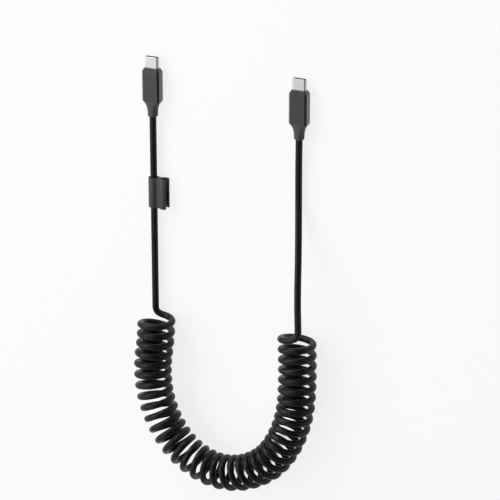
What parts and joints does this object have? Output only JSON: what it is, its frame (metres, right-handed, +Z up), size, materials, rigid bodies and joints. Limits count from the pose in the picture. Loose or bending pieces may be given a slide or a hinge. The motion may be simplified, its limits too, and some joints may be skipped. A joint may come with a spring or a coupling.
{
  "type": "coiled charging cable",
  "caption": "Coiled charging cable laid in a U, with a flat reversible plug and a tapered strain relief at each end and a sliding clip that holds a second strand.",
  "frame": {"origin": "on the floor, midway between the two plugs", "axes": "+X from the left plug to the right one, +Y the way both plugs point, +Z up from the floor"},
  "size_m": [0.1163, 0.2599, 0.0226],
  "materials": {
    "shell_steel": "satin",
    "carrier_plastic": "matte",
    "contact_metal": "plated",
    "spring_steel": "satin",
    "board_laminate": "matte",
    "wire_insulation": "matte",
    "sleeve_metal": "dark grey, blasted and anodised",
    "mould_plastic": "matte",
    "relief_rubber": "matte",
    "cord_jacket": "satin",
    "clip_plastic": "matte"
  },
  "bodies": {
    "cable": {"left_plug_shell": "shell_steel", "left_contact_carrier": "carrier_plastic", "left_upper_contacts": "contact_metal", "left_lower_contacts": "contact_metal", "left_latch_spring": "spring_steel", "left_ground_springs": "spring_steel", "left_circuit_board": "board_laminate", "left_wire_ends": "wire_insulation", "left_sleeve": "sleeve_metal", "left_inner_mould": "mould_plastic", "left_strain_relief": "relief_rubber", "right_plug_shell": "shell_steel", "right_contact_carrier": "carrier_plastic", "right_upper_contacts": "contact_metal", "right_lower_contacts": "contact_metal", "right_latch_spring": "spring_steel", "right_ground_springs": "spring_steel", "right_circuit_board": "board_laminate", "right_wire_ends": "wire_insulation", "right_sleeve": "sleeve_metal", "right_inner_mould": "mould_plastic", "right_strain_relief": "relief_rubber", "left_cord": "cord_jacket", "coil": "cord_jacket", "right_cord": "cord_jacket"},
    "clip": {"cable_clip": "clip_plastic"}
  },
  "joints": [
    {"name": "clip_slide", "type": "slide", "parent": "cable", "child": "clip", "axis": [0, 1, 0], "range_m": [-0.0633, 0.0373]}
  ]
}
